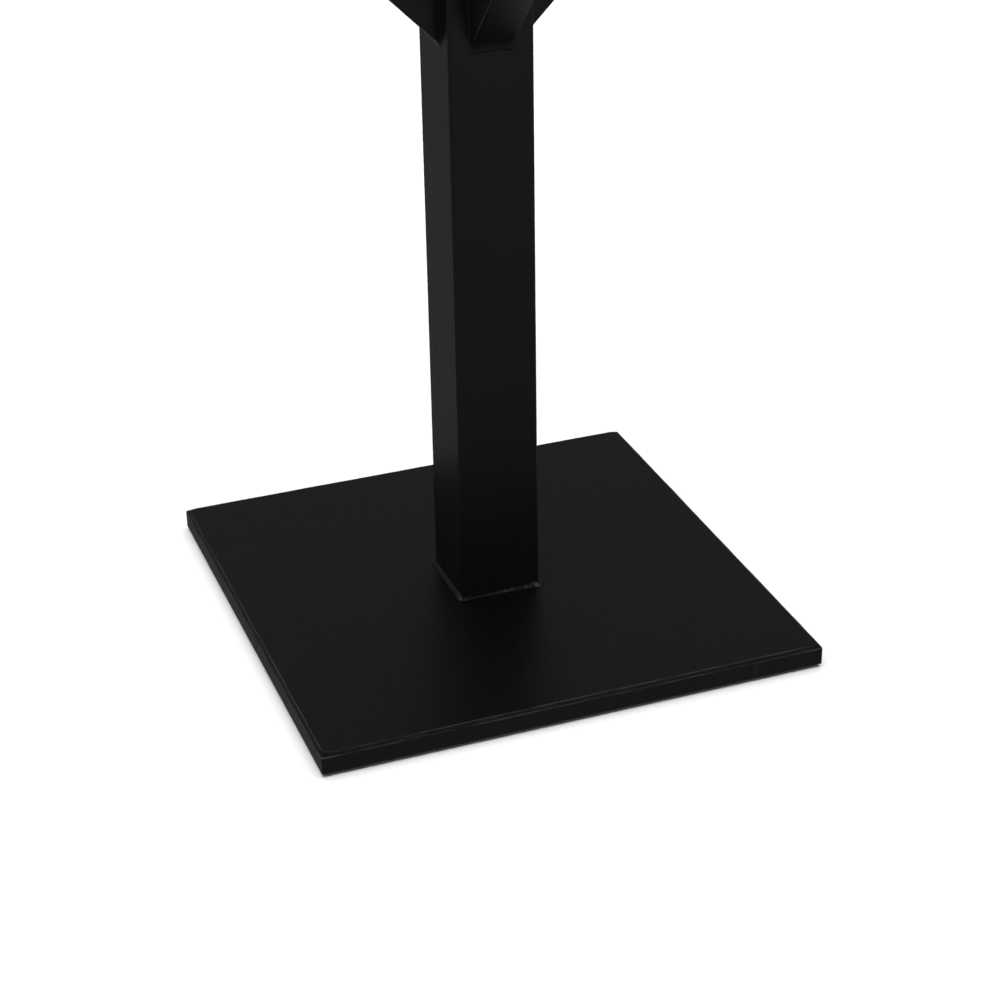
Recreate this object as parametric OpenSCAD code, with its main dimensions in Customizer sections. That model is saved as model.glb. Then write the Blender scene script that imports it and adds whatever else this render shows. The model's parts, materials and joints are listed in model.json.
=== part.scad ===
// Four way clothing rack.
// A square base plate carries a square column. Four branches leave the column's
// faces at 45 degrees and turn upright into four sleeves. A telescoping upright
// slides in each sleeve, carries one hanging arm and is locked by a snap button.
// The origin is on the floor, in the middle of the base. Z is up.

/* [Base] */
// Side of the square base plate
base_w = 460; // [420:1:600]
// Thickness of the base plate
base_t = 19; // [12:0.5:25]
// Radius of the eased edge round the plate's top
base_edge_r = 2.6; // [1:0.1:5]
// Diameter of each floor pad
pad_d = 40; // [20:1:60]
// Thickness of each floor pad
pad_t = 3; // [1:0.5:6]
// Distance from the plate's edge to a pad's middle
pad_inset = 44; // [35:1:80]

/* [Column] */
// Outer width of the square column
column_w = 75; // [60:0.5:90]
// Wall of the column
column_wall = 3; // [2:0.1:5]
// Radius of the column's outer corners
column_corner_r = 3; // [1:0.1:5]
// Height of the column above the plate's top
column_h = 590; // [580:1:700]
// Leg of the weld round the column's foot
foot_weld_leg = 4.7; // [2:0.1:8]

/* [Branches] */
// Outer width of the branch and sleeve tubes
branch_w = 38; // [36:0.1:45]
// Wall of the branch and sleeve tubes
branch_wall = 2; // [1.5:0.1:2.4]
// Radius of the branch and sleeve tubes' outer corners
branch_corner_r = 1.8; // [1:0.1:4]
// Height of a branch's lowest point on the column, above the plate's top
branch_h = 515; // [450:1:520]
// Leg of the weld round a branch's root
branch_weld_leg = 3.8; // [2:0.1:5]
// Leg of the same weld at the branch's sides, where it is only a thin seam
branch_weld_side = 1.2; // [0.5:0.1:3]
// How far the bead round each mitre stands out of the tube
mitre_bead = 0.8; // [0.4:0.1:1.5]

/* [Sleeves] */
// Height of the sleeves' tops above the floor
sleeve_top = 1170; // [1160:1:1180]
// Height of the lowest adjusting hole above the floor
hole_z = 820; // [815:1:830]
// Distance between adjusting holes
hole_pitch = 50; // [25:1:50]
// Number of adjusting holes in each sleeve
hole_count = 7; // [2:1:7]
// Radius of an adjusting hole
hole_r = 5.2; // [5:0.1:6]
// Length of a guide bushing's skirt inside the sleeve
bushing_l = 25; // [10:1:25]
// Thickness of a guide bushing's flange
bushing_flange = 3; // [2:0.5:4]

/* [Uprights and arms] */
// Outer width of the telescoping uprights
upright_w = 30; // [29.5:0.1:31]
// Wall of the uprights
upright_wall = 2; // [1.5:0.1:2.5]
// Height of the arms' hanging edge above the floor
arm_top = 1220; // [1210:1:1300]
// Outer width of the arm tubes
arm_w = 25; // [20:0.5:27]
// Wall of the arm tubes
arm_wall = 1.6; // [1.2:0.1:2.5]
// Length of an arm from the upright to its end stop
arm_l = 350; // [250:1:450]
// Thickness of an end stop
stop_t = 4.8; // [3:0.1:8]
// Height of an end stop above the arm
stop_rise = 20; // [10:1:30]

/* [Snap buttons] */
// Radius of a snap button
button_r = 4.75; // [4:0.05:4.8]
// How far a snap button stands out of the sleeve
button_out = 3; // [2:0.1:4]
// Width of the snap spring's strip
spring_w = 9; // [6:0.5:12]
// Thickness of the snap spring's strip
spring_t = 0.7; // [0.5:0.1:1]

/* [Hidden] */
$fn = 48;
SIDES = ["right", "back", "left", "front"];
EACH_SIDE = [
    "branch", "sleeve", "guide_bushing", "upright", "arm", "arm_weld", "end_stop",
    "upright_cap", "snap_spring", "snap_button"
];

steel = [0.10, 0.10, 0.11];
plastic = [0.06, 0.06, 0.06];
rubber = [0.16, 0.16, 0.16];
bare_steel = [0.62, 0.62, 0.60];
deck_z = pad_t + base_t;
column_top = deck_z + column_h;
// A 45 degree tube cuts a face that is taller than the tube by this factor
slant = sqrt(2);
root_low = deck_z + branch_h;
root_mid = root_low + branch_w * slant / 2;
root_high = root_low + branch_w * slant;
// The sleeves' outer faces stand over the plate's edges
sleeve_x = (base_w - branch_w) / 2;
mitre_z = root_mid + sleeve_x - column_w / 2;
mitre_tilt = 22.5;
sleeve_bore = branch_w - 2 * branch_wall;
// Gap between an upright and its bushing, on each side
slide_gap = 0.25;
bushing_wall = (sleeve_bore - upright_w) / 2 - slide_gap - 0.05;
// An upright's top stands this far above its arm, to leave room for the weld
upright_over = 6;
upright_top = arm_top + upright_over;
// An upright goes on below its button by this much, to stay steady in the sleeve
upright_tail = 75;
upright_bottom = hole_z - upright_tail;
upright_face = sleeve_x + upright_w / 2;
upright_bore = upright_w - 2 * upright_wall;
upright_corner_r = 2;
arm_corner_r = 1.6;
arm_weld_leg = 3;
// The weld at an arm's sides is narrower, because the upright's face is
arm_weld_side = 1.4;
// The snap spring's head lies this far inside the upright's outer wall
spring_gap = 0.1;
spring_face = upright_bore / 2 - spring_gap;
button_back = sleeve_x + spring_face;
button_l = sleeve_x + branch_w / 2 + button_out - button_back;
button_hole_r = 5;
// Flange, skirt length and wall of the plastic plugs in the tubes' tops
column_plug = [3, 15, 2.5];
upright_plug = [2.5, 12, 1.6];
cap_fit = 0.05;
// The inner corners of a tube are never sharper than this
least_corner_r = 0.5;
far = 1000;

// Square with round corners, centred
module soft_square(w, r) {
    square([w, w - 2 * r], center = true);
    square([w - 2 * r, w], center = true);
    for (x = [-1, 1])
        for (y = [-1, 1])
            translate([x * (w / 2 - r), y * (w / 2 - r)])
                circle(r = r);
}

// Cross-section of a square tube
module tube_section(w, wall, r) {
    difference() {
        soft_square(w, r);
        soft_square(w - 2 * wall, max(r - wall, least_corner_r));
    }
}

// Outline extruded along Y and centred on it, drawn in X and Z
module across(width) {
    rotate([90, 0, 0])
        linear_extrude(width, center = true)
            children();
}

// Turns a piece that is drawn on the +X side to another side, counted from "right"
module on_side(number) {
    rotate([0, 0, 90 * number])
        children();
}

// Plug for a tube's end: a flange that covers the wall and a hollow skirt.
// Its sizes are the flange's thickness, the skirt's length and the skirt's wall
module tube_plug(w, bore, r, sizes) {
    linear_extrude(sizes[0])
        soft_square(w, r);
    translate([0, 0, -sizes[1]])
        linear_extrude(sizes[1])
            tube_section(bore - 2 * cap_fit, sizes[2], 1);
}

// Everything on the far side of a 22.5 degree mitre, seen from the sleeve
module above_mitre() {
    translate([sleeve_x, 0, mitre_z])
        rotate([0, mitre_tilt, 0])
            translate([-far / 2, -far / 2, 0])
                cube(far);
}

// One straight branch, from inside the column to beyond the mitre
module branch_line(outline_only = false) {
    translate([column_w / 2, 0, root_mid])
        rotate([0, 45, 0])
            linear_extrude(far, center = true)
                if (outline_only) soft_square(branch_w, branch_corner_r);
                else tube_section(branch_w, branch_wall, branch_corner_r);
}

module sleeve_line(outline_only = false) {
    translate([sleeve_x, 0, 0])
        linear_extrude(sleeve_top)
            if (outline_only) soft_square(branch_w, branch_corner_r);
            else tube_section(branch_w, branch_wall, branch_corner_r);
}

module eased_profile() {
    reach = base_w / 2 - base_edge_r;
    translate([-base_w / 2, 0])
        square([base_w, base_t - base_edge_r]);
    translate([-reach, 0])
        square([2 * reach, base_t]);
    for (side = [-1, 1])
        translate([side * reach, base_t - base_edge_r])
            circle(r = base_edge_r);
}

module base_plate() {
    color(steel)
        translate([0, 0, pad_t])
            intersection_for (turn = [0, 90])
                rotate([0, 0, turn])
                    across(base_w)
                        eased_profile();
}

module floor_pads() {
    reach = base_w / 2 - pad_inset;
    color(rubber)
        for (x = [-reach, reach])
            for (y = [-reach, reach])
                translate([x, y, 0])
                    cylinder(d = pad_d, h = pad_t);
}

module column() {
    color(steel)
        translate([0, 0, deck_z])
            linear_extrude(column_h)
                tube_section(column_w, column_wall, column_corner_r);
}

// Weld bead with a 45 degree slope on all four sides of the column
module foot_weld() {
    low = column_w / 2 + foot_weld_leg;
    high = column_w / 2;
    color(steel)
        translate([0, 0, deck_z])
            difference() {
                intersection_for (turn = [0, 90])
                    rotate([0, 0, turn])
                        across(2 * column_w)
                            polygon([[-low, 0], [low, 0], [high, foot_weld_leg], [-high, foot_weld_leg]]);
                linear_extrude(far, center = true)
                    soft_square(column_w, column_corner_r);
            }
}

module column_cap() {
    color(plastic)
        translate([0, 0, column_top])
            tube_plug(column_w, column_w - 2 * column_wall, column_corner_r, column_plug);
}

module branch() {
    color(steel)
        difference() {
            branch_line();
            above_mitre();
            translate([-far + column_w / 2, -far / 2, 0])
                cube([far, far, 2 * far]);
        }
}

// Bead round a branch's root: a vertical ring on the column's face
module branch_weld() {
    leg = branch_weld_leg;
    low_x = column_w / 2;
    high_x = low_x + leg / slant;
    half = branch_w / 2;
    difference() {
        intersection() {
            across(2 * branch_w)
                polygon([
                    [low_x, root_low - leg], [high_x, root_low + leg / slant],
                    [high_x, root_high + leg / slant], [low_x, root_high + leg]
                ]);
            translate([0, 0, root_low - 2 * leg])
                linear_extrude(root_high - root_low + 4 * leg)
                    polygon([
                        [low_x, -half - branch_weld_side], [high_x, -half],
                        [high_x, half], [low_x, half + branch_weld_side]
                    ]);
        }
        branch_line(outline_only = true);
    }
}

module branch_welds() {
    color(steel)
        for (number = [0:3])
            on_side(number)
                branch_weld();
}

module sleeve() {
    color(steel)
        difference() {
            intersection() {
                sleeve_line();
                above_mitre();
            }
            for (step = [0:hole_count - 1])
                translate([sleeve_x, 0, hole_z + step * hole_pitch])
                    rotate([0, 90, 0])
                        cylinder(r = hole_r, h = branch_w);
        }
}

// Thin raised band that follows a mitre round both tubes
module mitre_weld() {
    band = 3;
    difference() {
        translate([sleeve_x, 0, mitre_z])
            rotate([0, mitre_tilt, 0])
                cube(
                    [branch_w / cos(mitre_tilt) + 2 * mitre_bead, branch_w + 2 * mitre_bead, band],
                    center = true
                );
        intersection() {
            sleeve_line(outline_only = true);
            above_mitre();
        }
        difference() {
            branch_line(outline_only = true);
            above_mitre();
        }
    }
}

module mitre_welds() {
    color(steel)
        for (number = [0:3])
            on_side(number)
                mitre_weld();
}

module guide_bushing() {
    inside = upright_w + 2 * slide_gap;
    outside = inside + 2 * bushing_wall;
    color(plastic)
        translate([sleeve_x, 0, sleeve_top]) {
            linear_extrude(bushing_flange)
                difference() {
                    soft_square(branch_w, branch_corner_r);
                    soft_square(inside, least_corner_r);
                }
            translate([0, 0, -bushing_l])
                linear_extrude(bushing_l)
                    difference() {
                        soft_square(outside, least_corner_r);
                        soft_square(inside, least_corner_r);
                    }
        }
}

module upright() {
    color(steel)
        difference() {
            translate([sleeve_x, 0, upright_bottom])
                linear_extrude(upright_top - upright_bottom)
                    tube_section(upright_w, upright_wall, upright_corner_r);
            translate([sleeve_x, 0, hole_z])
                rotate([0, 90, 0])
                    cylinder(r = button_hole_r, h = upright_w);
        }
}

module upright_cap() {
    color(plastic)
        translate([sleeve_x, 0, upright_top])
            tube_plug(upright_w, upright_bore, upright_corner_r, upright_plug);
}

module arm() {
    color(steel)
        translate([upright_face, 0, arm_top - arm_w / 2])
            rotate([0, 90, 0])
                linear_extrude(arm_l)
                    tube_section(arm_w, arm_wall, arm_corner_r);
}

// Bead round an arm's root, narrower at the sides than above and below
module arm_weld() {
    half = arm_w / 2;
    middle = arm_top - half;
    low_x = upright_face - upright_corner_r;
    high_x = upright_face + arm_weld_leg;
    color(steel)
        difference() {
            intersection() {
                across(upright_w)
                    polygon([
                        [low_x, middle - half - arm_weld_leg], [upright_face, middle - half - arm_weld_leg],
                        [high_x, middle - half], [high_x, middle + half],
                        [upright_face, middle + half + arm_weld_leg], [low_x, middle + half + arm_weld_leg]
                    ]);
                translate([0, 0, middle - arm_w])
                    linear_extrude(2 * arm_w)
                        polygon([
                            [low_x, -half - arm_weld_side], [upright_face, -half - arm_weld_side],
                            [high_x, -half], [high_x, half],
                            [upright_face, half + arm_weld_side], [low_x, half + arm_weld_side]
                        ]);
            }
            translate([upright_face, 0, middle])
                rotate([0, 90, 0])
                    linear_extrude(arm_l)
                        soft_square(arm_w, arm_corner_r);
            translate([sleeve_x, 0, 0])
                linear_extrude(2 * far)
                    soft_square(upright_w, upright_corner_r);
        }
}

// Upright plate with round top corners, flush with the arm at its foot
module end_stop() {
    corner = 6;
    half = arm_w / 2;
    height = arm_w + stop_rise;
    color(steel)
        translate([upright_face + arm_l, 0, arm_top - arm_w])
            rotate([90, 0, 90])
                linear_extrude(stop_t) {
                    translate([-half, 0])
                        square([arm_w, height - corner]);
                    translate([corner - half, 0])
                        square([arm_w - 2 * corner, height]);
                    for (side = [-1, 1])
                        translate([side * (half - corner), height - corner])
                            circle(r = corner);
                }
}

// Direction of a line of points at one of them
function heading(line, at) =
    let (run = line[min(at + 1, len(line) - 1)] - line[max(at - 1, 0)])
    run / norm(run);

// Point beside a line of points, to the left of it where the offset is positive
function beside(line, at, offset) =
    let (along = heading(line, at))
    line[at] + offset * [-along.y, along.x];

// Outline of a strip of even thickness that follows a line of points
module strip(line, thickness) {
    last = len(line) - 1;
    polygon(concat(
        [for (at = [0:last]) beside(line, at, thickness / 2)],
        [for (at = [last:-1:0]) beside(line, at, -thickness / 2)]
    ));
}

// V spring: one leg along the back wall, a round bend, one leg to the button.
// Heights are counted from the button's middle
module snap_spring() {
    reach = spring_face - spring_t / 2;
    back_leg_top = 22;
    front_leg_top = 12;
    front_leg_knee = -14;
    bend_r = 6;
    bend_z = -32;
    bend = [for (angle = [180:15:330]) [bend_r - reach + bend_r * cos(angle), bend_z + bend_r * sin(angle)]];
    front_leg = [[reach, front_leg_knee], [reach, front_leg_top]];
    color(bare_steel)
        translate([sleeve_x, 0, hole_z])
            across(spring_w)
                strip(concat([[-reach, back_leg_top]], bend, front_leg), spring_t);
}

module snap_button() {
    dome_r = 9;
    color(bare_steel)
        translate([button_back, 0, hole_z])
            rotate([0, 90, 0])
                intersection() {
                    cylinder(r = button_r, h = button_l);
                    translate([0, 0, button_l - dome_r])
                        sphere(r = dome_r);
                }
}

base_plate();
floor_pads();
column();
foot_weld();
column_cap();
branch_welds();
mitre_welds();
for (number = [0:3]) {
    on_side(number) branch();
    on_side(number) sleeve();
    on_side(number) guide_bushing();
    on_side(number) upright();
    on_side(number) upright_cap();
    on_side(number) arm();
    on_side(number) arm_weld();
    on_side(number) end_stop();
    on_side(number) snap_spring();
    on_side(number) snap_button();
}
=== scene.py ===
import json
import math

import bmesh
import bpy
from mathutils import Matrix, Vector, noise


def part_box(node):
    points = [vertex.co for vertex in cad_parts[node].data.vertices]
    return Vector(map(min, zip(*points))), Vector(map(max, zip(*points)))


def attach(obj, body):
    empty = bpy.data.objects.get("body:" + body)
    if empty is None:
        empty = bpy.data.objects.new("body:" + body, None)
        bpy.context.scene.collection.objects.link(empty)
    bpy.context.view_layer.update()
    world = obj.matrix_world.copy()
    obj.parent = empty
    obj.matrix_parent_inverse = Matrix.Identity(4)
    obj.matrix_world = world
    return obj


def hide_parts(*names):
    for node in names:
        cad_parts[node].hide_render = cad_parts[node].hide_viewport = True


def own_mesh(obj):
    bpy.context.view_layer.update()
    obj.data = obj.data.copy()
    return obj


SIDES = ("right", "back", "left", "front")
UP = Vector((0, 0, 1))
MM = 0.001

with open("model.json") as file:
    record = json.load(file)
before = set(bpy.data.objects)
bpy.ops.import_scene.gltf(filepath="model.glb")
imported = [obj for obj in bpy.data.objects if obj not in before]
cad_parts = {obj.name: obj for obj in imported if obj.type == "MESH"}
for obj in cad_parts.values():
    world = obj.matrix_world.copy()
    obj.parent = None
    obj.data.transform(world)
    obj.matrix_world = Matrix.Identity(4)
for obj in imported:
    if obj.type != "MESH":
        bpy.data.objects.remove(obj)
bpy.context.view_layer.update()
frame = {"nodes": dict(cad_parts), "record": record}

# ---------------------------------------------------------------- sizes, with walls and corners as designed

plate_low, plate_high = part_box("base_plate")
column_low, column_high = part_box("column")
branch_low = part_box("branch_right")[0]
sleeve_low, sleeve_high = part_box("sleeve_right")
bushing_low, bushing_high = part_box("guide_bushing_right")
upright_low, upright_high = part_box("upright_right")
upright_cap_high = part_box("upright_cap_right")[1]
arm_low, arm_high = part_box("arm_right")
stop_low, stop_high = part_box("end_stop_right")
button_low, button_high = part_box("snap_button_right")
spring_low, spring_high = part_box("snap_spring_right")
pads_low, pads_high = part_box("floor_pads")
joints = {joint["name"]: joint for joint in frame["record"]["behaviour"]["joints"]}
PAD_SPOTS = [m["pos_m"] for m in frame["record"]["mounts"] if m["name"].startswith("floor_pad")]

PLATE_W = plate_high.x - plate_low.x
PLATE_T = plate_high.z - plate_low.z
DECK_Z = plate_high.z
COLUMN_W = column_high.x - column_low.x
COLUMN_WALL = 3 * MM
COLUMN_CORNER = 3 * MM
TUBE_W = sleeve_high.y - sleeve_low.y
TUBE_WALL = 2 * MM
TUBE_CORNER = 1.8 * MM
SLEEVE_X = (sleeve_low.x + sleeve_high.x) / 2
SLEEVE_TOP = sleeve_high.z
MITRE_TILT = math.radians(22.5)
MITRE_Z = sleeve_low.z + TUBE_W / 2 * math.tan(MITRE_TILT)
ROOT_Z = branch_low.z + TUBE_W / math.sqrt(2)
UPRIGHT_W = upright_high.y - upright_low.y
UPRIGHT_FACE = upright_high.x
UPRIGHT_CORNER = 2 * MM
ARM_W = arm_high.y - arm_low.y
ARM_Z = (arm_low.z + arm_high.z) / 2
ARM_WALL = 1.6 * MM
ARM_CORNER = 1.6 * MM
BUTTON_Z = (button_low.z + button_high.z) / 2
HOLE_STEPS = 6
HOLE_PITCH = joints["right_height"]["range_m"][1] / HOLE_STEPS
HOLE_R = 5.2 * MM
UPRIGHT_HOLE_R = 5 * MM


# ---------------------------------------------------------------- camera, floor and light

def link(obj):
    bpy.context.scene.collection.objects.link(obj)
    return obj


def photo_camera():
    """The photograph's viewpoint, measured in plate widths from the middle of the plate's underside."""
    azimuth, elevation, roll = math.radians(-20.1504), math.radians(28.2299), math.radians(-0.9824)
    distance, aside, above = 4.7765 * PLATE_W, 0.0292 * PLATE_W, 0.1840 * PLATE_W
    back = Vector((
        math.sin(azimuth) * math.cos(elevation),
        -math.cos(azimuth) * math.cos(elevation),
        math.sin(elevation),
    ))
    right = Vector((math.cos(azimuth), math.sin(azimuth), 0))
    up = back.cross(right)
    target = Vector((0, 0, plate_low.z))
    data = bpy.data.cameras.new("camera")
    data.sensor_width = 36
    data.lens = 84.70
    data.clip_start = 0.05
    data.clip_end = 100
    camera = link(bpy.data.objects.new("camera", data))
    rolled_right = right * math.cos(roll) + up * math.sin(roll)
    rolled_up = up * math.cos(roll) - right * math.sin(roll)
    place = Matrix((rolled_right, rolled_up, back)).transposed().to_4x4()
    place.translation = target + right * aside + up * above + back * distance
    camera.matrix_world = place
    bpy.context.scene.camera = camera


def studio():
    """A pale floor and backdrop for the camera, and dim surroundings for the black paint to mirror: brighter
    where the pale floor lies under the branches, dimmer low in front of the rack."""
    world = bpy.data.worlds.new("studio")
    world.use_nodes = True
    nodes, links = world.node_tree.nodes, world.node_tree.links
    where = nodes.new("ShaderNodeTexCoord")
    towards_floor = facing(nodes, links, where.outputs["Generated"], (0, 0.3, -0.95))
    towards_front = facing(nodes, links, where.outputs["Generated"], (0.35, -0.93, -0.1))
    around, under, front_share = 0.15, 0.42, 0.62
    strength = nodes.new("ShaderNodeMath")
    strength.operation = "MULTIPLY"
    links.new(graded(nodes, links, towards_floor, around, under, 0.78, 0.95), strength.inputs[0])
    links.new(graded(nodes, links, towards_front, 1.0, front_share, 0.93, 0.98), strength.inputs[1])
    nodes["Background"].inputs["Color"].default_value = (0.97, 0.97, 1.0, 1)
    links.new(strength.outputs["Value"], nodes["Background"].inputs["Strength"])
    bpy.context.scene.world = world
    bpy.context.scene.view_settings.view_transform = "Standard"

    floor = stage_mesh("floor", *disc(30.0, 96))
    floor.data.materials.append(pale_floor())
    dome = stage_mesh("backdrop", *hemisphere(29.0, 48, 16))
    dome.data.materials.append(pale_backdrop())
    for piece in (floor, dome):
        piece.visible_glossy = False
        piece.visible_diffuse = False
        piece.visible_shadow = False

    receivers = bpy.data.collections.new("floor_only")
    receivers.objects.link(floor)
    sky = sun("floor_light", 3.5, 70)
    sky.light_linking.receiver_collection = receivers
    softbox("key", (-2.6, -1.2, 2.6), 2.2, 14)
    softbox("fill", (1.7, -3.2, 0.8), 2.4, 6)


def sun(name, strength, spread):
    """A wide sun straight overhead."""
    data = bpy.data.lights.new(name, "SUN")
    data.energy = strength
    data.angle = math.radians(spread)
    return link(bpy.data.objects.new(name, data))


def softbox(name, place, size, power):
    """A square light aimed at the column."""
    data = bpy.data.lights.new(name, "AREA")
    data.energy = power
    data.size = size
    lamp = link(bpy.data.objects.new(name, data))
    lamp.location = place
    aim = Vector((0, 0, 0.45)) - Vector(place)
    lamp.rotation_mode = "QUATERNION"
    lamp.rotation_quaternion = aim.to_track_quat("-Z", "Y")


def disc(radius, count):
    points = [(radius * math.cos(2 * math.pi * k / count), radius * math.sin(2 * math.pi * k / count), 0)
              for k in range(count)]
    return points, [tuple(range(count))]


def hemisphere(radius, around, up):
    points, faces = [], []
    for i in range(up + 1):
        tilt = 0.49 * math.pi * i / up
        for k in range(around):
            turn = 2 * math.pi * k / around
            points.append((
                radius * math.cos(tilt) * math.cos(turn),
                radius * math.cos(tilt) * math.sin(turn),
                radius * math.sin(tilt) - 0.01,
            ))
    for i in range(up):
        for k in range(around):
            a, b = i * around + k, i * around + (k + 1) % around
            faces.append((a, b, b + around, a + around))
    return points, faces


def stage_mesh(name, points, faces):
    mesh = bpy.data.meshes.new(name)
    mesh.from_pydata(points, [], faces)
    obj = link(bpy.data.objects.new(name, mesh))
    return obj


# ---------------------------------------------------------------- materials

def new_material(name):
    material = bpy.data.materials.new(name)
    material.use_nodes = True
    nodes, links = material.node_tree.nodes, material.node_tree.links
    return material, nodes, links, nodes["Principled BSDF"]


def pale_floor():
    material, _, _, shader = new_material("floor_pale")
    shader.inputs["Base Color"].default_value = (0.9, 0.9, 0.9, 1)
    shader.inputs["Roughness"].default_value = 0.9
    shader.inputs["Specular IOR Level"].default_value = 0.0
    return material


def pale_backdrop():
    material, _, _, shader = new_material("backdrop_pale")
    shader.inputs["Base Color"].default_value = (0, 0, 0, 1)
    shader.inputs["Specular IOR Level"].default_value = 0.0
    shader.inputs["Emission Color"].default_value = (1, 1, 1, 1)
    shader.inputs["Emission Strength"].default_value = 1.0
    return material


def texture(nodes, links, kind, where, **inputs):
    """A texture node in the row frame's own coordinates, with these input values."""
    node = nodes.new(kind)
    links.new(where.outputs["Object"], node.inputs["Vector"])
    for name, value in inputs.items():
        node.inputs[name].default_value = value
    return node


def graded(nodes, links, source, low, high, from_low=0.3, from_high=0.7):
    """A value spread over a range."""
    node = nodes.new("ShaderNodeMapRange")
    node.inputs["From Min"].default_value = from_low
    node.inputs["From Max"].default_value = from_high
    node.inputs["To Min"].default_value = low
    node.inputs["To Max"].default_value = high
    links.new(source, node.inputs["Value"])
    return node.outputs["Result"]


def facing(nodes, links, source, direction):
    """How nearly a vector points in a direction: 1 when it does."""
    node = nodes.new("ShaderNodeVectorMath")
    node.operation = "DOT_PRODUCT"
    links.new(source, node.inputs[0])
    node.inputs[1].default_value = direction
    return node.outputs["Value"]


def mixed(nodes, links, factor, first, second):
    """A colour between two, as the factor says. Each may be a colour or a socket."""
    node = nodes.new("ShaderNodeMix")
    node.data_type = "RGBA"
    links.new(factor, node.inputs["Factor"])
    for socket, value in ((node.inputs[6], first), (node.inputs[7], second)):
        if hasattr(value, "links"):
            links.new(value, socket)
        else:
            socket.default_value = (*value, 1)
    return node.outputs[2]


def bumped(nodes, links, height, distance, strength, before=None):
    """A bump of this height in metres, over the bump before it if there is one."""
    node = nodes.new("ShaderNodeBump")
    node.inputs["Distance"].default_value = distance
    node.inputs["Strength"].default_value = strength
    links.new(height, node.inputs["Height"])
    if before is not None:
        links.new(before, node.inputs["Normal"])
    return node.outputs["Normal"]


def powder_coat(name, rough, peel=1.0):
    """Satin powder coat: orange peel, slow colour drift, dust specks, and edges and weld crests painted
    lighter as rubbed wear and painted highlight.
    """
    material, nodes, links, shader = new_material(name)
    where = nodes.new("ShaderNodeTexCoord")
    drift = texture(nodes, links, "ShaderNodeTexNoise", where, Scale=9.0, Detail=4.0, Roughness=0.6)
    mottle = texture(nodes, links, "ShaderNodeTexNoise", where, Scale=160.0, Detail=3.0, Roughness=0.55)
    orange_peel = texture(nodes, links, "ShaderNodeTexNoise", where, Scale=620.0, Detail=2.0, Roughness=0.5)
    grit = texture(nodes, links, "ShaderNodeTexNoise", where, Scale=2600.0, Detail=1.0, Roughness=0.5)
    specks = texture(nodes, links, "ShaderNodeTexVoronoi", where, Scale=14.0)
    colour = mixed(nodes, links, graded(nodes, links, drift.outputs["Fac"], 0, 1), DARK, LIGHT)
    speck = nodes.new("ShaderNodeMath")
    speck.operation = "MULTIPLY"
    links.new(graded(nodes, links, specks.outputs["Distance"], 1, 0, 0.006, 0.010), speck.inputs[0])
    links.new(graded(nodes, links, specks.outputs["Color"], 0, 1, 0.55, 0.65), speck.inputs[1])
    speck = speck.outputs["Value"]
    colour = mixed(nodes, links, speck, colour, DUST)
    # The attribute paints edges and weld crests lighter: partly rubbed paint, partly painted highlight.
    wear_and_highlight = nodes.new("ShaderNodeAttribute")
    wear_and_highlight.attribute_name = "wear_and_highlight"
    colour = mixed(nodes, links, wear_and_highlight.outputs["Fac"], colour, RUBBED_AND_HIGHLIGHT)
    links.new(colour, shader.inputs["Base Color"])
    roughness = graded(nodes, links, mottle.outputs["Fac"], rough - 0.04, rough + 0.05)
    links.new(roughness, shader.inputs["Roughness"])
    normal = bumped(nodes, links, mottle.outputs["Fac"], 0.0004 * peel, 0.08)
    normal = bumped(nodes, links, orange_peel.outputs["Fac"], 0.00012 * peel, 0.35, normal)
    normal = bumped(nodes, links, grit.outputs["Fac"], 0.00003 * peel, 0.3, normal)
    normal = bumped(nodes, links, speck, 0.0002, 0.5, normal)
    links.new(normal, shader.inputs["Normal"])
    shader.inputs["Specular IOR Level"].default_value = 0.5
    return material


def moulded_plastic():
    material, nodes, links, shader = new_material("moulded_black_plastic")
    where = nodes.new("ShaderNodeTexCoord")
    spark = texture(nodes, links, "ShaderNodeTexNoise", where, Scale=1500.0, Detail=3.0, Roughness=0.7)
    drift = texture(nodes, links, "ShaderNodeTexNoise", where, Scale=40.0, Detail=3.0)
    colour = mixed(nodes, links, graded(nodes, links, drift.outputs["Fac"], 0, 1),
                   (0.012, 0.012, 0.012), (0.018, 0.018, 0.018))
    links.new(colour, shader.inputs["Base Color"])
    links.new(graded(nodes, links, spark.outputs["Fac"], 0.5, 0.68), shader.inputs["Roughness"])
    links.new(bumped(nodes, links, spark.outputs["Fac"], 0.00008, 0.5), shader.inputs["Normal"])
    return material


def dark_rubber():
    material, nodes, links, shader = new_material("pad_rubber")
    where = nodes.new("ShaderNodeTexCoord")
    grain = texture(nodes, links, "ShaderNodeTexNoise", where, Scale=900.0, Detail=4.0, Roughness=0.7)
    colour = mixed(nodes, links, graded(nodes, links, grain.outputs["Fac"], 0, 1),
                   (0.02, 0.02, 0.02), (0.035, 0.034, 0.033))
    links.new(colour, shader.inputs["Base Color"])
    links.new(graded(nodes, links, grain.outputs["Fac"], 0.75, 0.92), shader.inputs["Roughness"])
    links.new(bumped(nodes, links, grain.outputs["Fac"], 0.0002, 0.5), shader.inputs["Normal"])
    return material


def zinc_plate():
    material, nodes, links, shader = new_material("zinc_plated_steel")
    where = nodes.new("ShaderNodeTexCoord")
    cloud = texture(nodes, links, "ShaderNodeTexNoise", where, Scale=220.0, Detail=4.0, Roughness=0.6)
    scratch = texture(nodes, links, "ShaderNodeTexNoise", where, Scale=1400.0, Detail=2.0)
    colour = mixed(nodes, links, graded(nodes, links, cloud.outputs["Fac"], 0, 1),
                   (0.50, 0.50, 0.48), (0.66, 0.67, 0.68))
    links.new(colour, shader.inputs["Base Color"])
    links.new(graded(nodes, links, cloud.outputs["Fac"], 0.24, 0.42), shader.inputs["Roughness"])
    links.new(bumped(nodes, links, scratch.outputs["Fac"], 0.00004, 0.4), shader.inputs["Normal"])
    shader.inputs["Metallic"].default_value = 1.0
    return material


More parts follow.
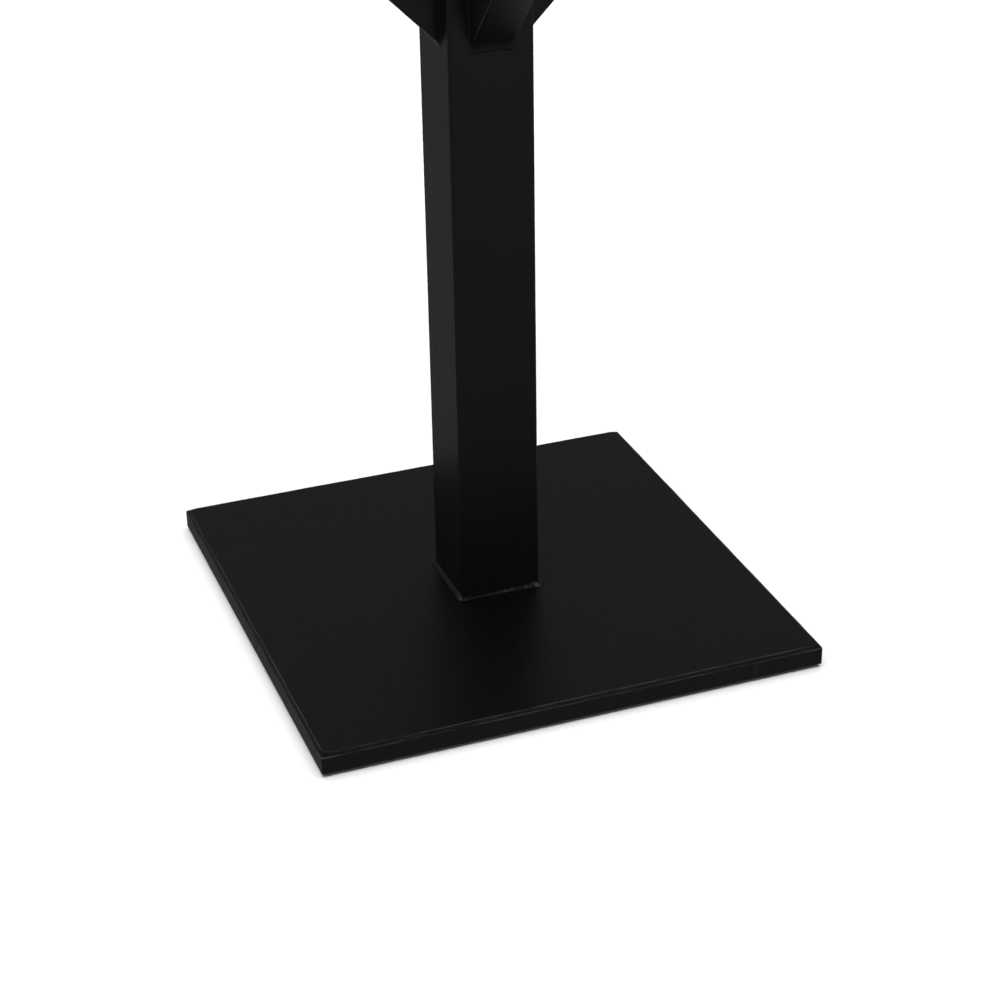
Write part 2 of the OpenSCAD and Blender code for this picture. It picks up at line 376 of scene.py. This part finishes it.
DARK = (0.0065, 0.0063, 0.0070)
LIGHT = (0.0095, 0.0093, 0.0100)
DUST = (0.15, 0.15, 0.16)
# Lighter colour for rubbed paint, also used as a painted highlight on edges and weld crests.
RUBBED_AND_HIGHLIGHT = (0.19, 0.185, 0.21)
MATERIALS = {
    "coated_plate": powder_coat("black_powder_coat_plate", 0.40),
    "coated_column": powder_coat("black_powder_coat_column", 0.38),
    "coated_tube": powder_coat("black_powder_coat_tube", 0.38),
    "coated_weld": powder_coat("black_powder_coat_weld", 0.33, peel=0.5),
    "cap_plastic": moulded_plastic(),
    "pad_rubber": dark_rubber(),
    "plated_steel": zinc_plate(),
}
SLOT_OF = {part["node"]: part["material_slot"] for part in frame["record"]["subparts"]}


# ---------------------------------------------------------------- mesh helpers

def axes(origin, first, along):
    """A frame at origin with these first and third axes."""
    place = Matrix((first, along.cross(first), along)).transposed().to_4x4()
    place.translation = origin
    return place


def rounded_path(width, height, corners, steps_side=1, steps_corner=6):
    """Points and outward normals round a rectangle, anticlockwise from its right side's foot. The corner
    radii go anticlockwise from the top right."""
    path = []
    for quarter in range(4):
        turn = Matrix.Rotation(quarter * math.pi / 2, 2)
        reach, rise = (width / 2, height / 2) if quarter % 2 == 0 else (height / 2, width / 2)
        radius = corners[quarter]
        start, stop = corners[quarter - 1] - rise, rise - radius
        for k in range(steps_side):
            spot = Vector((reach, start + (stop - start) * k / steps_side))
            path.append((turn @ spot, turn @ Vector((1, 0))))
        for k in range(steps_corner):
            angle = math.pi / 2 * k / steps_corner
            out = Vector((math.cos(angle), math.sin(angle)))
            path.append((turn @ (Vector((reach - radius, stop)) + radius * out), turn @ out))
    return path


def square_path(width, corner, steps_side=1, steps_corner=6):
    return rounded_path(width, width, [corner] * 4, steps_side, steps_corner)


def nearness(spot, half, reach):
    """1 at a square's corners, falling to 0 within reach of them."""
    gap = Vector((half - abs(spot.x), half - abs(spot.y))).length
    return math.exp(-(gap / reach) ** 2)


def skin(name, rings, closed=False, caps=False, quarter_turns=0, wear_and_highlight=None):
    """A smooth mesh over rings that all have the same number of points, turned about the rack's middle."""
    count = len(rings[0])
    turn = Matrix.Rotation(quarter_turns * math.pi / 2, 4, "Z")
    mesh = bmesh.new()
    rows = [[mesh.verts.new(turn @ point) for point in ring] for ring in rings]
    pairs = list(zip(rows, rows[1:]))
    if closed:
        pairs.append((rows[-1], rows[0]))
    for low, high in pairs:
        for k in range(count):
            after = (k + 1) % count
            mesh.faces.new((low[k], low[after], high[after], high[k]))
    if caps:
        mesh.faces.new(list(reversed(rows[0])))
        mesh.faces.new(rows[-1])
    bmesh.ops.recalc_face_normals(mesh, faces=mesh.faces)
    data = bpy.data.meshes.new(name)
    mesh.to_mesh(data)
    mesh.free()
    for face in data.polygons:
        face.use_smooth = True
    if wear_and_highlight:
        data.attributes.new("wear_and_highlight", "FLOAT", "POINT").data.foreach_set("value", wear_and_highlight)
    return link(bpy.data.objects.new(name, data))


def even_normals(obj):
    """Keeps flat faces flat up to their round edges."""
    modifier = obj.modifiers.new("even_normals", "WEIGHTED_NORMAL")
    modifier.weight = 60
    modifier.keep_sharp = True


def finish_piece(obj, body, slot, *nodes):
    """Gives a piece its material and body, in place of these CAD nodes."""
    obj.data.materials.clear()
    obj.data.materials.append(MATERIALS[slot])
    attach(obj, body)
    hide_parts(*nodes)
    return obj


def onto(plane, start, along):
    """Where the line from start along a direction meets a plane (point, normal)."""
    point, normal = plane
    return start + along * ((point - start).dot(normal) / along.dot(normal))


def layered(name, place, layers, **options):
    """A piece made of rounded square layers (width, corner radius, height) along the third axis of place."""
    rings = []
    for width, corner, height in layers:
        rings.append([place @ Vector((*spot, height)) for spot, _ in square_path(width, corner)])
    return skin(name, rings, **options)


def turned(name, place, profile, count=48, **options):
    """A round piece from a profile of (radius, height) along the third axis of place."""
    rings = []
    for radius, height in profile:
        ring = []
        for k in range(count):
            angle = 2 * math.pi * k / count
            ring.append(place @ Vector((radius * math.cos(angle), radius * math.sin(angle), height)))
        rings.append(ring)
    return skin(name, rings, caps=True, **options)


def tube(name, place, width, wall, corner, low, high, **options):
    """A square tube along the third axis of place, between two planes, with its outer ends eased."""
    ease = 0.4 * MM
    along = place.col[2].to_3d()
    bore = (width - 2 * wall, max(corner - wall, 0.5 * MM))
    full, eased = (width, corner), (width - 2 * ease, corner - ease)
    rings = []
    for (size, radius), plane, shift in (
        (bore, low, 0), (eased, low, 0), (full, low, ease),
        (full, high, -ease), (eased, high, 0), (bore, high, 0),
    ):
        ring = []
        for spot, _ in square_path(size, radius):
            ring.append(onto(plane, place @ Vector((*spot, 0)), along) + along * shift)
        rings.append(ring)
    return skin(name, rings, closed=True, **options)


def drill(obj, heights, radius, quarter_turns):
    """Holes through the outer wall of an upright tube, with eased rims."""
    for height in heights:
        place = axes(Vector((SLEEVE_X, 0, height)), Vector((0, 1, 0)), Vector((1, 0, 0)))
        cutter = turned("cutter", place, [(radius, 0), (radius, TUBE_W)], quarter_turns=quarter_turns)
        modifier = obj.modifiers.new("hole", "BOOLEAN")
        modifier.solver = "EXACT"
        modifier.object = cutter
        graph = bpy.context.evaluated_depsgraph_get()
        made = bpy.data.meshes.new_from_object(obj.evaluated_get(graph))
        obj.modifiers.clear()
        obj.data = made
        bpy.data.objects.remove(cutter)
    rim = obj.modifiers.new("rim", "BEVEL")
    rim.width = 0.35 * MM
    rim.segments = 2
    rim.limit_method = "ANGLE"
    rim.angle_limit = math.radians(60)


# ---------------------------------------------------------------- base plate

def ground_plate():
    """The plate, with its top edges ground by hand to a wavy band between two ridges painted lighter, as
    rubbed wear and painted highlight.
    """
    corner = 1.1 * MM
    ridge_corner = 8 * MM
    ridge_inset = 2.75
    half = PLATE_W / 2
    steps_side, steps_corner = 260, 8
    # inset from the side and depth below the top in mm, waviness, rubbed wear and painted highlight, how
    # unbroken they are
    profile = [
        (0.4, PLATE_T / MM, 0, 0, 0), (0.0, PLATE_T / MM - 0.4, 0, 0, 0), (0.0, 14.0, 0, 0.3, -0.5),
        (0.0, 10.0, 0, 0.3, -0.5), (0.0, 6.0, 0, 0.3, -0.5), (0.0, 4.3, 0, 0, 0), (0.0, 3.6, 1, 0.1, 0.5),
        (0.03, 3.2, 1, 0.7, 0.25), (0.10, 2.85, 1, 1.0, 0.25), (0.30, 2.5, 1, 0.6, 0.25),
        (0.65, 2.1, 0.8, 0, 0), (1.05, 1.7, 0.6, 0.4, -0.2), (1.6, 1.2, 0.6, 0.4, -0.2),
        (2.1, 0.75, 0.8, 0, 0), (2.45, 0.4, 1, 0.6, 0.75), (2.75, 0.16, 1, 1.0, 0.75),
        (3.1, 0.04, 1, 0.7, 0.75), (3.5, 0.0, 1, 0, 0), (4.8, 0.0, 0, 0, 0), (8.0, 0.0, 0, 0, 0),
        (60.0, 0.0, 0, 0, 0), ((PLATE_W - 0.8 * COLUMN_W) / 2 / MM, 0.0, 0, 0, 0),
    ]
    wear_and_highlight = []
    rings = []
    for inset, drop, wavy, rub_and_highlight, steady in profile:
        ring = []
        radius = corner + (ridge_corner - corner) * min(1.0, inset / ridge_inset)
        for point, out in square_path(PLATE_W - 2 * inset * MM, radius, steps_side, steps_corner):
            here = Vector((point.x, point.y, 0.04 * drop))
            slow = 0.45 * noise.noise(here * 26) + 0.20 * noise.noise(here * 85)
            fine = 0.07 * noise.noise(Vector((point.x, point.y, 0.009 * drop)) * 420)
            height = -drop
            if inset < 0.5:
                height += wavy * (slow + 2 * fine)
            else:
                point = point - out * wavy * (0.6 * slow + fine) * MM
                height -= wavy * abs(fine) * (drop > 0)
            ring.append(Vector((point.x, point.y, DECK_Z + height * MM)))
            # Painted highlight and wear: ridges and side streaks are painted lighter in broken patches, the
            # lower ridge more near the corners and the upper ridge less, standing in for light caught by the
            # ground edges as well as rubbed paint.
            broken = noise.noise(Vector((point.x, point.y, 3 + 0.4 * inset)) * 34)
            broken += 0.5 * noise.noise(Vector((point.x, point.y, 8 + 0.4 * inset)) * 130)
            lower_ridge = 2 < drop < 4
            at_corner = nearness(point, half, 12 * MM) if lower_ridge else -nearness(point, half, 9 * MM)
            wear_and_highlight.append(rub_and_highlight * max(0.0, min(1.0, steady + 1.3 * broken + 1.2 * at_corner)))
        rings.append(ring)
    plate = skin("ground_base_plate", rings, caps=True, wear_and_highlight=wear_and_highlight)
    even_normals(plate)
    finish_piece(plate, "root", "coated_plate", "base_plate")


def floor_pads():
    radius = pads_high.x - max(spot[0] for spot in PAD_SPOTS)
    thick = pads_high.z - pads_low.z
    ease = 0.6 * MM
    for number, spot in enumerate(PAD_SPOTS):
        place = axes(Vector(spot), Vector((1, 0, 0)), UP)
        profile = [(radius - ease, 0), (radius - 0.3 * ease, 0.3 * ease), (radius, ease), (radius, thick)]
        pad = turned(f"floor_pad_{number + 1}", place, profile)
        even_normals(pad)
        finish_piece(pad, "root", "pad_rubber", "floor_pads")


# ---------------------------------------------------------------- weld beads

def bead(name, line, bulge, seed, quarter_turns=0, blended=False):
    """A closed weld bead along a line of (point, first direction, second direction, outward, first leg,
    second leg, lumpiness). It reaches its legs along both directions and bulges outward by a share of their
    length, with the uneven ripples and lumps of hand welding. A blended one meets the steel without a rim."""
    steps = 9
    ripple_pitch, sunk = 2.9 * MM, 0.3 * MM
    length = 0.0
    rings, wear_and_highlight = [], []
    for k, (point, first, second, out, first_leg, second_leg, lumpy) in enumerate(line):
        if k:
            length += (point - line[k - 1][0]).length
        here = point + Vector((seed, 2 * seed, 0))
        thick = 1.0 + 0.22 * noise.noise(here * 45) + 0.14 * noise.noise(here * 170)
        pulse = length / ripple_pitch + 0.9 * noise.noise(here * 80)
        strength = 0.5 + noise.noise(here * 120)
        ring = []
        for j in range(steps):
            share = j / (steps - 1)
            crest = math.sin(math.pi * share)
            ripple = strength * math.cos(2 * math.pi * (pulse + 0.6 * (share - 0.5) ** 2))
            rough = noise.noise(here * 650 + Vector((3 * share, 0, 0)))
            lump = noise.noise(here * 260 + Vector((0, 2.2 * share, 0)))
            lift = bulge * (first_leg + second_leg) / 2 * thick
            lift += lumpy * (0.07 * ripple + 0.16 * rough + 0.32 * lump) * MM
            spread = first * first_leg * (1 - share) + second * second_leg * share
            ring.append(point + spread * thick + out * crest * lift)
            # Painted glints and wear: lumpy crests are painted lighter, standing in for light caught on the
            # bead as well as paint rubbed thin.
            wear_and_highlight.append(crest * max(0.0, min(1.0, 1.5 * lumpy * (0.9 * lump + 0.5 * rough + 0.1) - 0.3)))
        ring.append(point - out * sunk)
        wear_and_highlight.append(0.0)
        rings.append(ring)
    made = skin(name, rings, closed=True, quarter_turns=quarter_turns, wear_and_highlight=wear_and_highlight)
    if blended:
        for number, face in enumerate(made.data.polygons):
            face.use_smooth = number % (steps + 1) < steps - 1
    return made


def seam(place, width, corner, plane, legs_at, steps):
    """Where a square tube meets a plane, as a line for bead()."""
    normal = plane[1]
    along = place.col[2].to_3d()
    line = []
    for spot, out in square_path(width, corner, steps, 6):
        point = onto(plane, place @ Vector((*spot, 0)), along)
        outward = place.to_3x3() @ Vector((*out, 0))
        first = (outward - normal * outward.dot(normal)).normalized()
        line.append((point, first, along, (first + along).normalized(), *legs_at(spot, first)))
    return line


def foot_bead():
    """The bead round the column's foot: smooth at its sides, thin and then lumpy along the front."""
    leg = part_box("foot_weld")[1].z - DECK_Z
    half = COLUMN_W / 2

    def legs_at(spot, first):
        front = max(0.0, -first.y)
        along_front = spot.x / half
        thick = 0.82 - front * (0.28 - 0.26 * along_front) + 0.34 * nearness(spot, half, 6 * MM)
        # Lumpiness also sets where crests are painted lighter as painted glints: most along the front's right
        # half and round the corners.
        lumpy = 0.25 + front * (0.65 + 0.8 * along_front) + 0.8 * nearness(spot, half, 5 * MM)
        return leg * thick, leg * thick, lumpy

    place = axes(Vector((0, 0, 0)), Vector((1, 0, 0)), UP)
    line = seam(place, COLUMN_W, COLUMN_CORNER, (Vector((0, 0, DECK_Z)), UP), legs_at, 110)
    weld = bead("foot_weld_bead", line, 0.065, 3.0)
    finish_piece(weld, "root", "coated_weld", "foot_weld")


def root_beads(number, branch_place):
    """The bead round a branch's root: a fillet under it and over it, and a thin seam at its sides."""
    half = TUBE_W / 2
    side_leg, column_leg, branch_leg, drip_leg = 0.8 * MM, 3.7 * MM, 4.2 * MM, 1.2 * MM
    lumpy = 0.06

    def legs_at(spot, first):
        over_or_under = abs(first.z) ** 2
        drip = max(0.0, -first.z) * nearness(spot, half, 5 * MM)
        on_column = side_leg + column_leg * over_or_under + drip_leg * drip
        return on_column, side_leg + branch_leg * over_or_under, lumpy

    plane = (Vector((COLUMN_W / 2, 0, 0)), Vector((1, 0, 0)))
    line = seam(branch_place, TUBE_W, TUBE_CORNER, plane, legs_at, 60)
    weld = bead(f"branch_root_bead_{SIDES[number]}", line, -0.19, 5.0 + number, number, blended=True)
    finish_piece(weld, "root", "coated_weld", "branch_welds")


def mitre_bead(number, branch_place, sleeve_place, mitre):
    leg, lumpy = 1.9 * MM, 0.45
    along = branch_place.col[2].to_3d()
    line = []
    for spot, out in square_path(TUBE_W, TUBE_CORNER, 50, 6):
        point = onto(mitre, sleeve_place @ Vector((*spot, 0)), UP)
        outward = sleeve_place.to_3x3() @ Vector((*out, 0)) + branch_place.to_3x3() @ Vector((*out, 0))
        line.append((point, -along, UP, outward.normalized(), leg, leg, lumpy))
    weld = bead(f"mitre_bead_{SIDES[number]}", line, 0.4, 11.0 + number, number)
    finish_piece(weld, "root", "coated_weld", "mitre_welds")


def arm_bead(number, arm_place):
    side_leg, over_leg, lumpy = 1.3 * MM, 1.5 * MM, 0.5

    def legs_at(_, first):
        leg = side_leg + over_leg * abs(first.z)
        return leg, leg, lumpy

    plane = (Vector((UPRIGHT_FACE, 0, 0)), Vector((1, 0, 0)))
    line = seam(arm_place, ARM_W, ARM_CORNER, plane, legs_at, 40)
    weld = bead(f"arm_root_bead_{SIDES[number]}", line, 0.075, 17.0 + number, number)
    finish_piece(weld, f"{SIDES[number]}_arm", "coated_weld", f"arm_weld_{SIDES[number]}")


# ---------------------------------------------------------------- tubes

def column():
    place = axes(Vector((0, 0, 0)), Vector((1, 0, 0)), UP)
    low, high = (Vector((0, 0, DECK_Z)), UP), (Vector((0, 0, column_high.z)), UP)
    made = tube("column_tube", place, COLUMN_W, COLUMN_WALL, COLUMN_CORNER, low, high)
    even_normals(made)
    finish_piece(made, "root", "coated_column", "column")


def branch(number, branch_place, mitre):
    face = (Vector((COLUMN_W / 2, 0, 0)), Vector((1, 0, 0)))
    made = tube(f"branch_tube_{SIDES[number]}", branch_place, TUBE_W, TUBE_WALL, TUBE_CORNER, face, mitre,
                quarter_turns=number)
    even_normals(made)
    finish_piece(made, "root", "coated_tube", f"branch_{SIDES[number]}")


def sleeve(number, sleeve_place, mitre):
    top = (Vector((0, 0, SLEEVE_TOP)), UP)
    made = tube(f"sleeve_tube_{SIDES[number]}", sleeve_place, TUBE_W, TUBE_WALL, TUBE_CORNER, mitre, top,
                quarter_turns=number)
    drill(made, [BUTTON_Z + HOLE_PITCH * step for step in range(HOLE_STEPS + 1)], HOLE_R, number)
    even_normals(made)
    finish_piece(made, "root", "coated_tube", f"sleeve_{SIDES[number]}")


def upright(number, sleeve_place):
    low, high = (Vector((0, 0, upright_low.z)), UP), (Vector((0, 0, upright_high.z)), UP)
    made = tube(f"upright_tube_{SIDES[number]}", sleeve_place, UPRIGHT_W, TUBE_WALL, UPRIGHT_CORNER,
                low, high, quarter_turns=number)
    drill(made, [BUTTON_Z], UPRIGHT_HOLE_R, number)
    even_normals(made)
    finish_piece(made, f"{SIDES[number]}_arm", "coated_tube", f"upright_{SIDES[number]}")


def arm(number, arm_place):
    low, high = (arm_low, Vector((1, 0, 0))), (arm_high, Vector((1, 0, 0)))
    made = tube(f"arm_tube_{SIDES[number]}", arm_place, ARM_W, ARM_WALL, ARM_CORNER, low, high,
                quarter_turns=number)
    even_normals(made)
    finish_piece(made, f"{SIDES[number]}_arm", "coated_tube", f"arm_{SIDES[number]}")


def end_stop(number):
    """A plate with round top corners and eased edges, across the arm's end."""
    thick, height = stop_high.x - stop_low.x, stop_high.z - stop_low.z
    top_corner, foot_corner, ease = 6 * MM, 1 * MM, 0.7 * MM
    middle = Vector((stop_low.x, 0, (stop_low.z + stop_high.z) / 2))
    place = axes(middle, Vector((0, 1, 0)), Vector((1, 0, 0)))
    rings = []
    for inset, depth in (
        (ease, 0), (0.3 * ease, 0.3 * ease), (0, ease),
        (0, thick - ease), (0.3 * ease, thick - 0.3 * ease), (ease, thick),
    ):
        corners = [top_corner - inset, top_corner - inset, foot_corner - inset, foot_corner - inset]
        path = rounded_path(ARM_W - 2 * inset, height - 2 * inset, corners)
        rings.append([place @ Vector((*spot, depth)) for spot, _ in path])
    made = skin(f"end_stop_plate_{SIDES[number]}", rings, caps=True, quarter_turns=number)
    even_normals(made)
    finish_piece(made, f"{SIDES[number]}_arm", "coated_tube", f"end_stop_{SIDES[number]}")


# ---------------------------------------------------------------- plastic pieces and buttons

def plug(name, place, width, corner, bore, flange, skirt, wall, body, node, quarter_turns=0):
    """A moulded plug in a tube's mouth: a flange with a round edge, and a hollow skirt."""
    ease = 0.45 * flange
    inside = bore - 2 * wall
    layers = [(inside, 0.6 * MM, 0), (inside, 0.6 * MM, -skirt), (bore - 0.1 * MM, 1 * MM, -skirt),
              (bore - 0.1 * MM, 1 * MM, 0), (width - 0.6 * MM, corner, 0), (width, corner, 0.3 * MM)]
    for degrees in (0, 30, 60, 90):
        angle = math.radians(degrees)
        inset = ease * (1 - math.cos(angle))
        layers.append((width - 2 * inset, corner - 0.5 * inset, flange - ease + ease * math.sin(angle)))
    layers.append((0.7 * width, corner, flange))
    made = layered(name, place, layers, caps=True, quarter_turns=quarter_turns)
    even_normals(made)
    finish_piece(made, body, "cap_plastic", node)


def guide_bushing(number):
    """A liner in a sleeve's mouth, with a flange over the wall and an eased throat."""
    throat, ease = UPRIGHT_W + 0.5 * MM, 0.9 * MM
    outside = TUBE_W - 2 * TUBE_WALL - 0.1 * MM
    flange = bushing_high.z - SLEEVE_TOP
    skirt = SLEEVE_TOP - bushing_low.z
    place = axes(Vector((SLEEVE_X, 0, SLEEVE_TOP)), Vector((1, 0, 0)), UP)
    layers = [
        (throat, 0.5 * MM, -skirt), (throat, 0.5 * MM, flange - 0.6 * MM),
        (throat + 0.4 * MM, 0.7 * MM, flange - 0.2 * MM), (throat + 1.2 * MM, 1 * MM, flange),
        (TUBE_W - 2 * ease, TUBE_CORNER - 0.5 * ease, flange),
        (TUBE_W - 0.6 * ease, TUBE_CORNER - 0.2 * ease, flange - 0.3 * ease),
        (TUBE_W, TUBE_CORNER, flange - ease), (TUBE_W, TUBE_CORNER, 0),
        (outside, 0.5 * MM, 0), (outside, 0.5 * MM, -skirt),
    ]
    made = layered(f"guide_bushing_liner_{SIDES[number]}", place, layers, closed=True, quarter_turns=number)
    even_normals(made)
    finish_piece(made, "root", "cap_plastic", f"guide_bushing_{SIDES[number]}")


def snap_button(number):
    """A round pin with a domed end and an eased rim."""
    radius = (button_high.z - button_low.z) / 2
    length = button_high.x - button_low.x
    dome = 9 * MM
    place = axes(Vector((button_low.x, 0, BUTTON_Z)), Vector((0, 1, 0)), Vector((1, 0, 0)))
    rim = length - dome + math.sqrt(dome ** 2 - radius ** 2)
    profile = [(radius - 0.3 * MM, 0), (radius, 0.3 * MM),
               (radius, rim - 0.35 * MM), (radius - 0.06 * MM, rim - 0.1 * MM)]
    for share in (0.95, 0.85, 0.7, 0.5, 0.3, 0.12):
        spot = share * radius
        profile.append((spot, length - dome + math.sqrt(dome ** 2 - spot ** 2)))
    made = turned(f"snap_button_pin_{SIDES[number]}", place, profile, quarter_turns=number)
    finish_piece(made, f"{SIDES[number]}_button", "plated_steel", f"snap_button_{SIDES[number]}")


def snap_spring(number):
    """A bent strip whose front leg carries the button."""
    thick = 0.7 * MM
    width = spring_high.y - spring_low.y
    reach = (spring_high.x - spring_low.x - thick) / 2
    bend_r = 6 * MM - thick / 2
    bend_z = spring_low.z + thick + bend_r
    bend_turn, bend_steps = 150, 16
    knee_z, front_top = BUTTON_Z - 14 * MM, BUTTON_Z + 12 * MM
    path = [(-reach, spring_high.z)]
    for step in range(bend_steps + 1):
        angle = math.radians(180 + bend_turn * step / bend_steps)
        path.append((bend_r * (1 + math.cos(angle)) - reach, bend_z + bend_r * math.sin(angle)))
    path += [(reach - 0.5 * MM, knee_z - 2 * MM), (reach, knee_z + 1 * MM), (reach, front_top)]
    points = [Vector((SLEEVE_X + x, 0, z)) for x, z in path]
    rings = []
    for k, point in enumerate(points):
        along = (points[min(k + 1, len(points) - 1)] - points[max(k - 1, 0)]).normalized()
        place = axes(point, Vector((0, 1, 0)), along)
        section = rounded_path(width, thick, [0.15 * MM] * 4, 1, 3)
        rings.append([place @ Vector((*spot, 0)) for spot, _ in section])
    made = skin(f"snap_spring_strip_{SIDES[number]}", rings, caps=True, quarter_turns=number)
    finish_piece(made, f"{SIDES[number]}_arm", "plated_steel", f"snap_spring_{SIDES[number]}")
    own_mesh(made)


# ---------------------------------------------------------------- the scene

photo_camera()
studio()
for node, obj in frame["nodes"].items():
    obj.data.materials.clear()
    obj.data.materials.append(MATERIALS[SLOT_OF[node]])
ground_plate()
floor_pads()
column()
foot_bead()
column_top = axes(Vector((0, 0, column_high.z)), Vector((1, 0, 0)), UP)
plug("column_cap_plug", column_top, COLUMN_W, COLUMN_CORNER, COLUMN_W - 2 * COLUMN_WALL,
     3 * MM, 15 * MM, 2.5 * MM, "root", "column_cap")

diagonal = Vector((1, 0, 1)).normalized()
branch_axes = axes(Vector((COLUMN_W / 2, 0, ROOT_Z)), Vector((1, 0, -1)).normalized(), diagonal)
sleeve_axes = axes(Vector((SLEEVE_X, 0, 0)), Vector((1, 0, 0)), UP)
arm_axes = axes(Vector((UPRIGHT_FACE, 0, ARM_Z)), Vector((0, 0, -1)), Vector((1, 0, 0)))
mitre_plane = (Vector((SLEEVE_X, 0, MITRE_Z)), Vector((math.sin(MITRE_TILT), 0, math.cos(MITRE_TILT))))
for number, side in enumerate(SIDES):
    branch(number, branch_axes, mitre_plane)
    sleeve(number, sleeve_axes, mitre_plane)
    root_beads(number, branch_axes)
    mitre_bead(number, branch_axes, sleeve_axes, mitre_plane)
    guide_bushing(number)
    upright(number, sleeve_axes)
    arm(number, arm_axes)
    arm_bead(number, arm_axes)
    end_stop(number)
    upright_top = axes(Vector((SLEEVE_X, 0, upright_high.z)), Vector((1, 0, 0)), UP)
    plug(f"upright_cap_plug_{side}", upright_top, UPRIGHT_W, UPRIGHT_CORNER, UPRIGHT_W - 2 * TUBE_WALL,
         upright_cap_high.z - upright_high.z, 12 * MM, 1.6 * MM, f"{side}_arm", f"upright_cap_{side}", number)
    snap_button(number)
    snap_spring(number)
